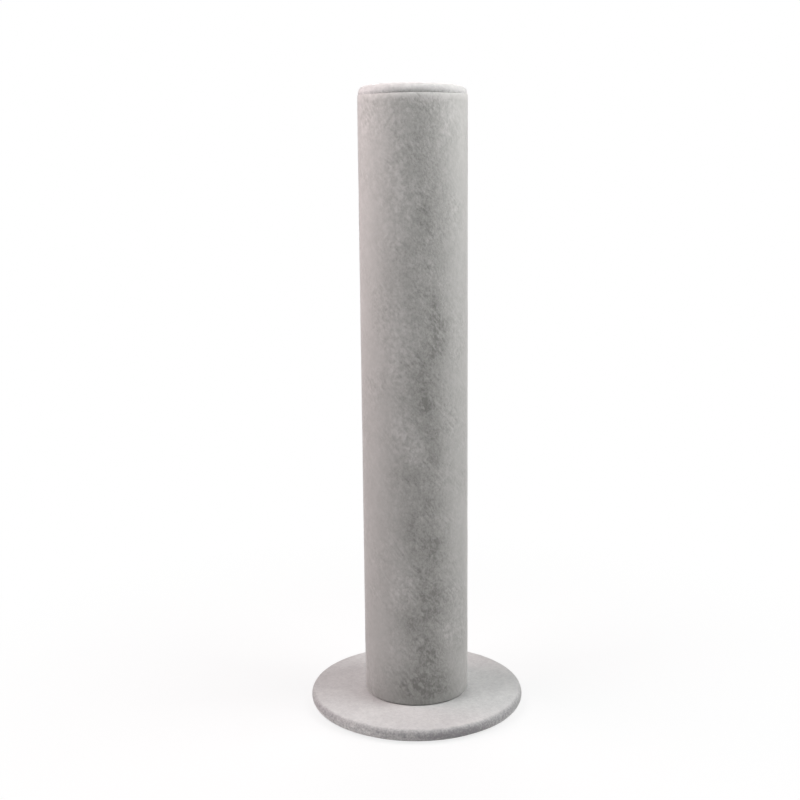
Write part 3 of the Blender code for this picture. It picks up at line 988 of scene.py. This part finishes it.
@dataclass
class Column(Covered):
    """The velvet sleeve on its paper tube, with the plugs in the tube's ends."""

    glue_gap: float = 0.3 * MM
    rim_width: float = 1.2 * MM
    rim_height: float = 2.3 * MM
    # The rolled rim under the cap is painted paler: a painted highlight where the lamps above catch it
    rim_painted_highlight: float = -0.65
    rim_highlight_turn: float = 50.0
    foot_radius: float = 0.7 * MM
    settled: float = 0.2 * MM
    tube_wall: float = 2.0 * MM
    lap_length: float = 10.0 * MM
    foot_hem: float = 8.0 * MM
    columns: int = 216
    row_step: float = 0.90 * MM
    seam_reach: float = 0.9 * MM
    seam_columns: int = 14
    grips: tuple[tuple[float, float], ...] = ((8, 33), (130, 34), (-112, 34))
    marks_elsewhere: tuple[tuple[float, float], ...] = ((122, 300), (-120, 190))

    def turns(self, radius: float) -> list[float]:
        """Lay out the sleeve's angles, which are finer at the seam behind.

        Args:
            radius: The sleeve's outer radius.

        Returns:
            The angles of a full turn, in rising order from the seam.
        """
        reach = self.seam_reach / radius
        rest = FULL_TURN - 2 * reach
        start = math.pi / 2 - reach
        steps = round(self.columns * rest / FULL_TURN)
        fine = [start + 2 * reach * index / self.seam_columns for index in range(self.seam_columns)]
        return fine + [start + 2 * reach + rest * index / steps for index in range(steps)]

    def section(self) -> Section:
        """Draw the sleeve's section: rim, outside, foot hem, inside and the lap inside the tube.

        Returns:
            The section, as a ring.
        """
        low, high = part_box("column_velvet")
        radius = high.x
        foot = low.z - self.settled
        top = high.z
        rim = self.rim_width
        turn = self.foot_radius
        inner = radius - self.velvet
        lap = inner - self.glue_gap - self.tube_wall - self.glue_gap
        bore = lap - self.velvet
        hem = inner - self.glue_gap - self.foot_hem
        fine = 0.2 * MM
        coarse = 12.0 * MM
        middling = 1.5 * MM
        section = Section(radius - rim, top, 1.0)
        # The rim's arc carries its painted highlight
        section.arc((radius - rim, top - self.rim_height), 90, 0, fine, 1.0, self.rim_painted_highlight, self.rim_highlight_turn,
                    self.rim_height / rim)
        section.line(radius, foot + turn, self.row_step, 1.0)
        section.arc((radius - turn, foot + turn), 0, -90, fine, 0.6)
        section.lines((hem, foot, middling), (hem, foot + self.velvet, middling),
                      (inner, foot + self.velvet, 3 * middling), (inner, top - self.velvet, coarse),
                      (lap, top - self.velvet, middling), (lap, top - self.lap_length, 3 * middling),
                      (bore, top - self.lap_length, middling), (bore, top - rim, 3 * middling))
        section.arc((bore + rim, top - rim), 180, 90, 2 * fine)
        section.line(radius - rim - fine, top, middling)
        return section

    def stroke(self, mesh: Mesh) -> None:
        """Mark where the sleeve's pile was brushed, where light and shade are painted on its front, and
        where hands kept it lively.

        Args:
            mesh: The sleeve's mesh, which is to carry both.
        """
        front = STROKES_DOWN + STROKES_UP
        back = [stroke.elsewhere(turn, rise) for turn, rise in self.marks_elsewhere for stroke in front]
        brush(mesh, (*front, *back, *STROKES_AND_PAINTED_LIGHT_IN_FRONT))
        place = places(mesh)
        held = [np.exp(-(turns_from(place, at) / reach) ** 2) for at, reach in self.grips]
        carry(mesh, CALM, 1 - np.max(held, axis=0))

    def build(self) -> None:
        """Build the sleeve with its pile, brushed strokes, painted light and shade, and back seam."""
        low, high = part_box("column_velvet")
        sleeve = turned("column_sleeve", self.section(), self.turns(high.x), ring=True)
        self.stroke(sleeve.data)
        Joint().close(sleeve.data, high.x, self.rim_width, high.z - self.rim_height, high.z)
        material = COLUMN_VELVET.material("column_velvet_pile")
        self.workshop.pile.apply(sleeve, material, {"Stretch": COLUMN_VELVET.nap.value})
        self.workshop.seam.apply(sleeve, material, {})
        settle(sleeve, "column_velvet", "column_velvet")

    def dress(self) -> None:
        """Dress the tube and its two plugs."""
        dress_node("column_tube", KRAFT)
        dress_node("bottom_plug", PLUG_WOOD)
        dress_node("top_plug", PLUG_WOOD)


@dataclass
class Screw:
    """One countersunk wood screw, head down, centred on the z axis."""

    foot: float
    length: float
    head_radius: float = 3.5 * MM
    head_rim: float = 0.3 * MM
    crest_radius: float = 1.75 * MM
    core_radius: float = 1.25 * MM
    tip_radius: float = 0.3 * MM
    point_length: float = 3.0 * MM
    plain_length: float = 5.0 * MM
    pitch: float = 1.3 * MM
    thread_share: float = 0.30
    columns: int = 30
    row_step: float = 0.13 * MM
    recess_span: float = 3.8 * MM
    recess_slot: float = 0.9 * MM
    recess_depth: float = 1.3 * MM

    def threaded(self, mesh: Mesh) -> None:
        """Press the thread into a plain shank.

        Args:
            mesh: The turned screw, whose shank has the crest's radius.
        """
        low = self.foot + self.plain_length
        depth = 1 - self.core_radius / self.crest_radius
        for vertex in mesh.vertices:
            x, y, z = vertex.co
            if z > low and math.hypot(x, y) >= self.tip_radius:
                phase = ((z - low) / self.pitch - math.atan2(y, x) / FULL_TURN) % 1.0
                valley = min(1.0, abs(phase - 0.5) / self.thread_share)
                share = 1 - depth * valley * min(1.0, (z - low) / self.pitch)
                vertex.co = (x * share, y * share, z)

    def recess(self, screw: Piece) -> None:
        """Cut the cross recess into the head.

        Args:
            screw: The screw.
        """
        slots = []
        for width, depth in ((self.recess_span, self.recess_slot), (self.recess_slot, self.recess_span)):
            shape = bmesh.new()
            bmesh.ops.create_cube(shape, size=1.0)
            bmesh.ops.scale(shape, vec=(width, depth, 2 * self.recess_depth), verts=shape.verts)
            slots.append(made("recess", shape, self.foot))
        cut_out(screw, *slots)

    def build(self) -> Piece:
        """Build the screw.

        Returns:
            The screw, on the axis.
        """
        tip = self.foot + self.length
        cone_foot = self.foot + self.head_rim
        cone_top = cone_foot + self.head_radius - self.crest_radius
        step = 4 * self.row_step
        section = Section(0.0, tip)
        section.lines((self.tip_radius, tip, step),
                      (self.crest_radius, tip - self.point_length, self.row_step),
                      (self.crest_radius, self.foot + self.plain_length, self.row_step),
                      (self.crest_radius, cone_top, step), (self.head_radius, cone_foot, step),
                      (self.head_radius, self.foot, step), (0.0, self.foot, step))
        screw = turned("base_screws", section, even_turns(self.columns))
        self.threaded(screw.data)
        self.recess(screw)
        return screw


@dataclass
class Base(Covered):
    """The covered base disc, its felt underlay and the screws that hold the column."""

    turn_under: float = 12.0 * MM
    edge_width: float = 1.9 * MM
    skirt: float = 0.3 * MM
    felt_edge: float = 0.2 * MM
    screw_hole: float = 2.0 * MM
    hole_sides: int = 24
    columns: int = 360
    row_step: float = 0.8 * MM
    hidden_radius: float = 22.0 * MM

    def cover_section(self) -> Section:
        """Draw the cover's section: top, round edge, margin turned under, and inside.

        Returns:
            The section, from pole to pole.
        """
        low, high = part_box("base_velvet")
        radius = high.x
        foot = low.z - self.skirt
        edge = (high.z - foot) / 2
        inner_edge = (high.z - low.z) / 2
        width = self.edge_width
        hem = radius - self.turn_under
        inside = low.z + self.velvet
        beside_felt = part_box("base_underlay")[1].x + self.felt_edge
        fine = 0.35 * MM
        coarse = 6.0 * MM
        section = Section(0.0, high.z)
        section.lines((self.hidden_radius, high.z, coarse), (radius - width, high.z, self.row_step, 1.0))
        # The round edge is painted darker: partly the pile opening over it, partly painted shade on the edge
        # turned away from the lamps above
        section.arc((radius - width, foot + edge), 90, -90, fine, 1.0, splay_and_painted_light=1.0, flatness=edge / width)
        section.lines((beside_felt, low.z, fine, 1.0), (hem, low.z, self.row_step, 1.0), (hem, inside, fine),
                      (radius - inner_edge, inside, 3 * self.row_step))
        section.arc((radius - inner_edge, low.z + inner_edge), -90, 90, 2 * fine)
        section.line(0.0, high.z - self.velvet, coarse)
        return section

    def punch(self, cover: Piece, material: bpy.types.Material) -> None:
        """Punch the screws' holes through the cover, where the column hides them.

        Args:
            cover: The cover, before its pile is raised.
            material: The cover's own material.
        """
        shape = bmesh.new()
        bmesh.ops.create_cone(shape, cap_ends=True, segments=self.hole_sides, radius1=self.screw_hole,
                              radius2=self.screw_hole, depth=4 * self.velvet)
        punch = made("punch", shape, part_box("base_velvet")[1].z)
        self.workshop.ring.apply(punch, material, self.screw_places())
        cut_out(cover, punch)

    def screw_places(self) -> dict[str, object]:
        """Work out the circle on which the screws stand.

        Returns:
            Its inputs for the ring tree.
        """
        low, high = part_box("base_screw_1")
        centre = (low + high) / 2
        return {"Radius": math.hypot(centre.x, centre.y), "First Turn": math.atan2(centre.y, centre.x)}

    def build_cover(self) -> None:
        """Build the velvet cover with its pile, the painted light and shade on its rim, and gathered margin.
        """
        low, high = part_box("base_velvet")
        cover = turned("base_cover", self.cover_section(), even_turns(self.columns))
        material = BASE_VELVET.material("base_velvet_pile")
        self.punch(cover, material)
        brush(cover.data, STROKES_AND_PAINTED_LIGHT_ON_RIM)
        self.workshop.pile.apply(cover, material, {
            "Seed": 2.0,
            "Tuft Depth": 0.04 * MM,
            "Splay Depth": 0.03 * MM,
            "Patch Strength": 0.06,
            "Wave Depth": 0.06 * MM,
            "Ragged Size": 1.2 * MM,
        })
        self.workshop.gathers.apply(cover, material, {
            "Top": (low.z + high.z) / 2,
            "Inner Radius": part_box("base_underlay")[1].x,
            "Outer Radius": high.x - self.edge_width / 2,
        })
        settle(cover, "base_velvet", "base_velvet")

    def build_felt(self) -> None:
        """Build the felt underlay."""
        low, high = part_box("base_underlay")
        edge = self.felt_edge
        section = Section(0.0, high.z)
        section.line(high.x - edge, high.z, 2 * self.row_step)
        section.arc((high.x - edge, high.z - edge), 90, 0, edge)
        section.line(high.x, low.z + edge, edge)
        section.arc((high.x - edge, low.z + edge), 0, -90, edge)
        section.line(0.0, low.z, 2 * self.row_step)
        felt = turned("base_felt", section, even_turns(self.columns // 2))
        felt.data.materials.append(GREY_FELT.material("base_felt_fibres"))
        settle(felt, "underlay_felt", "base_underlay")

    def build_screws(self) -> None:
        """Build the three screws as one piece, set round the axis."""
        low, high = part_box("base_screw_1")
        screws = Screw(low.z, high.z - low.z).build()
        self.workshop.ring.apply(screws, SCREW_STEEL.material("screw_zinc"), self.screw_places())
        settle(screws, "screw_steel", "base_screw_1", "base_screw_2", "base_screw_3")

    def dress(self) -> None:
        """Dress the board inside the cover."""
        dress_node("base_board", MDF)


@dataclass
class Cap(Covered):
    """The covered end disc: velvet over a thin foam pad on greyboard."""

    edge_width: float = 4.55 * MM
    edge_height: float = 3.20 * MM
    foot_width: float = 0.30 * MM
    lip: float = 0.50 * MM
    waist: float = 0.1 * MM
    settled: float = 0.27 * MM
    droop: float = 0.24 * MM
    board_edge: float = 3.5 * MM
    crown: float = 0.8 * MM
    # The crown is painted a little darker and the soft edge paler, a painted shade and a painted highlight
    # for how the lamps above fall on the cap; the foot is painted darker, a painted shade in the joint
    crown_painted_shade: float = 0.12
    edge_painted_highlight: float = -0.35
    edge_highlight_turn: float = 50.0
    foot_painted_shade: float = 0.3
    foot_shade_turn: float = -15.0
    turn_under: float = 7.0 * MM
    slant: float = 0.35 * MM
    columns: int = 400
    row_step: float = 0.8 * MM

    def crowned(self, section: Section, radius: float, shoulder: float, pile: float,
                outwards: bool) -> None:
        """Draw the crown between the axis and the shoulder.

        Args:
            section: The section to draw on.
            radius: The shoulder's distance from the axis.
            shoulder: Its height.
            pile: How much of the pile's relief the crown takes.
            outwards: Whether it is drawn from the axis, or back to it.
        """
        count = math.ceil(radius / self.row_step)
        shares = [index / count for index in range(count + 1)]
        if not outwards:
            shares.reverse()
        # The crown's painted shade fades into the edge's painted highlight
        beyond = self.edge_painted_highlight * math.sin(math.radians(self.edge_highlight_turn))
        for share in shares[1:]:
            height = shoulder + self.crown * (1 - share**2)
            splay_and_painted_light = self.crown_painted_shade + (beyond - self.crown_painted_shade) * share**3
            section.points.append((radius * share, height, pile, splay_and_painted_light))

    def section(self) -> Section:
        """Draw the cover's section: crown, soft edge, margin turned under, and inside.

        Returns:
            The section, from pole to pole.
        """
        low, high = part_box("cap_velvet")
        radius = high.x - self.waist
        shoulder = high.z - self.crown
        edge_foot = shoulder - self.edge_height
        foot = low.z - self.settled
        hem = high.x - self.turn_under
        inner = high.x - self.velvet
        inside = low.z + self.velvet
        board = high.x - self.board_edge
        fine = 0.25 * MM
        section = Section(0.0, high.z, 1.0)
        self.crowned(section, radius - self.edge_width, shoulder, 1.0, outwards=True)
        # The soft edge carries a painted highlight, and the foot a painted shade
        section.arc((radius - self.edge_width, edge_foot), 90, 0, fine, 1.0, self.edge_painted_highlight, self.edge_highlight_turn,
                    self.edge_height / self.edge_width)
        section.arc((radius - self.foot_width, edge_foot), 0, -90, fine / 2, 1.0, self.foot_painted_shade,
                    self.foot_shade_turn, (edge_foot - foot + self.droop) / self.foot_width)
        section.lines((radius - self.foot_width - self.lip, foot, fine), (hem, foot, self.row_step),
                      (hem, inside, fine), (inner, inside, self.row_step),
                      (inner, shoulder - self.board_edge, fine))
        section.arc((board, shoulder - self.board_edge), 0, 90, 2 * fine)
        self.crowned(section, board, shoulder - self.velvet, 0.0, outwards=False)
        return section

    def slanted(self, mesh: Mesh) -> None:
        """Lower the right side of the cover's top a little, as the handmade cap sits.

        Args:
            mesh: The cover's mesh.
        """
        low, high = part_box("cap_velvet")
        inside = low.z + self.velvet
        for vertex in mesh.vertices:
            lift = max(0.0, min(1.0, (vertex.co.z - inside) / (high.z - inside)))
            vertex.co.z -= self.slant * lift * vertex.co.x / high.x

    def build_cover(self) -> None:
        """Build the velvet cover."""
        low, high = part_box("cap_velvet")
        cover = turned("cap_cover", self.section(), even_turns(self.columns))
        Joint().close(cover.data, high.x - self.waist, self.foot_width, low.z - self.settled - self.droop,
                      high.z - self.crown - self.edge_height)
        material = CAP_VELVET.material("cap_velvet_pile")
        self.workshop.pile.apply(cover, material, {
            "Seed": 3.0,
            "Tuft Size": 1.6 * MM,
            "Tuft Depth": 0.03 * MM,
            "Splay Depth": 0.16 * MM,
            "Patch Strength": 0.12,
            "Wave Depth": 0.05 * MM,
        })
        self.slanted(cover.data)
        settle(cover, "cap_velvet", "cap_velvet")

    def build_pad(self) -> None:
        """Build the crowned foam pad."""
        low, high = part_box("cap_pad")
        flat_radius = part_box("cap_velvet")[1].x - self.board_edge
        section = Section(0.0, high.z)
        self.crowned(section, flat_radius, high.z - self.crown, 0.0, outwards=True)
        section.lines((high.x, low.z, 0.3 * MM), (0.0, low.z, self.row_step))
        pad = turned("cap_foam", section, even_turns(self.columns // 2))
        pad.data.materials.append(WHITE_FOAM.material("cap_foam_cells"))
        settle(pad, "cap_foam", "cap_pad")

    def dress(self) -> None:
        """Dress the board inside the cap."""
        dress_node("cap_board", GREYBOARD)


@dataclass(frozen=True)
class Softbox:
    """A rectangular lamp that faces the object."""

    name: str
    place: tuple[float, float, float]
    power: float
    colour: Colour = (1.0, 1.0, 1.0)
    width: float = 0.22
    height: float = 0.30
    target: tuple[float, float, float] = (0.0, 0.0, 0.17)

    def hang(self) -> None:
        """Hang the lamp, where the camera doesn't see it."""
        lamp = bpy.data.lights.new(self.name, "AREA")
        lamp.shape = "RECTANGLE"
        lamp.size = self.width
        lamp.size_y = self.height
        lamp.energy = self.power
        lamp.color = self.colour
        holder = linked(self.name, lamp)
        holder.location = self.place
        facing = Vector(self.target) - Vector(self.place)
        holder.rotation_euler = facing.to_track_quat("-Z", "Y").to_euler()
        holder.visible_camera = False


@dataclass
class Studio:
    """The floor, the lamps, the world and the camera at the photograph's viewing angle."""

    camera_place: tuple[float, float, float] = (-0.00705, -0.5824, 0.2596)
    pitch: float = math.radians(10.449)
    roll: float = math.radians(-0.547)
    focal_pixels: float = 1229.6
    sensor: float = 36.0
    floor_size: float = 8.0
    floor_gap: float = 0.1 * MM
    floor_colour: Colour = (0.80, 0.80, 0.80)
    floor_glow: float = 0.80
    shadow_reach: tuple[float, float] = (0.06, 0.30)
    ambient: float = 0.03
    lamps: tuple[Softbox, ...] = (
        Softbox("left_front", (-0.33, -0.16, 0.50), 1.63),
        Softbox("left_side", (-0.355, 0.058, 0.48), 1.15, (1.0, 0.73, 0.75)),
        Softbox("right_front", (0.33, -0.16, 0.50), 1.33),
        Softbox("right_side", (0.36, 0.00, 0.48), 1.31),
        Softbox("back_box", (0.0, 0.90, 0.50), 4.0, width=0.80, height=0.50),
    )

    def lay_floor(self) -> None:
        """Lay the pale floor, which keeps only a faint shadow for the camera."""
        shape = bmesh.new()
        bmesh.ops.create_grid(shape, x_segments=4, y_segments=4, size=self.floor_size / 2)
        floor = made("floor", shape, -self.floor_gap)
        material, bench, shader = new_material("floor_paper")
        shader.inputs["Base Color"].default_value = (*self.floor_colour, 1.0)
        shader.inputs["Roughness"].default_value = 1.0
        shader.inputs["Specular IOR Level"].default_value = 0.0
        place = bench.add("ShaderNodeTexCoord").outputs["Object"]
        length = bench.add("ShaderNodeVectorMath", (place,), operation="LENGTH").outputs["Value"]
        white = bench.ramp(length, *self.shadow_reach, self.floor_glow, 1.0)
        share = bench.product(seen_plainly(bench), white)
        glow = bench.add("ShaderNodeEmission").outputs[0]
        blend = bench.add("ShaderNodeMixShader", (share, shader.outputs[0], glow)).outputs[0]
        bench.feed(material.node_tree.nodes["Material Output"].inputs["Surface"], blend)
        floor.data.materials.append(material)

    def light(self) -> None:
        """Hang the lamps and set the world: white where it is seen, dim as a light."""
        for lamp in self.lamps:
            lamp.hang()
        world = bpy.data.worlds.new("studio")
        bpy.context.scene.world = world
        world.use_nodes = True
        bench = NodeBench(world.node_tree)
        sky = world.node_tree.nodes["Background"]
        sky.inputs["Color"].default_value = (1.0, 1.0, 1.0, 1.0)
        bench.feed(sky.inputs["Strength"], bench.ramp(seen_plainly(bench), 0.0, 1.0, self.ambient, 1.0))

    def aim_camera(self) -> None:
        """Set the camera up."""
        data = bpy.data.cameras.new("camera")
        data.sensor_width = self.sensor
        data.lens = self.sensor * self.focal_pixels / PHOTO_PIXELS
        camera = linked("camera", data)
        forward = Vector((0.0, math.cos(self.pitch), -math.sin(self.pitch)))
        right = Vector((1.0, 0.0, 0.0))
        turn = Matrix.Rotation(self.roll, 3, -forward)
        axes = Matrix((turn @ right, turn @ right.cross(forward), -forward)).transposed()
        camera.matrix_world = Matrix.Translation(self.camera_place) @ axes.to_4x4()
        bpy.context.scene.camera = camera

    def build(self) -> None:
        """Set up the whole studio."""
        self.lay_floor()
        self.light()
        self.aim_camera()
        bpy.context.scene.view_settings.view_transform = "Standard"


def seen_plainly(bench: NodeBench) -> Socket:
    """Tell the rays that see a thing plainly from those that only gather light.

    Args:
        bench: Where the nodes are added.

    Returns:
        A socket that is 1 for camera, glossy and transmission rays, and 0 for the rest.
    """
    path = bench.add("ShaderNodeLightPath").outputs
    seen = bench.math("MAXIMUM", path["Is Camera Ray"], path["Is Glossy Ray"])
    return bench.math("MAXIMUM", seen, path["Is Transmission Ray"])


def main() -> None:
    """Build the studio and every sub-assembly, in order from the floor up."""
    logging.basicConfig(level=logging.INFO, format="%(message)s")
    Studio().build()
    workshop = Workshop()
    base = Base(workshop)
    base.build_felt()
    base.build_cover()
    base.build_screws()
    base.dress()
    column = Column(workshop)
    column.build()
    column.dress()
    cap = Cap(workshop)
    cap.build_pad()
    cap.build_cover()
    cap.dress()


if __name__ == "__main__":
    main()
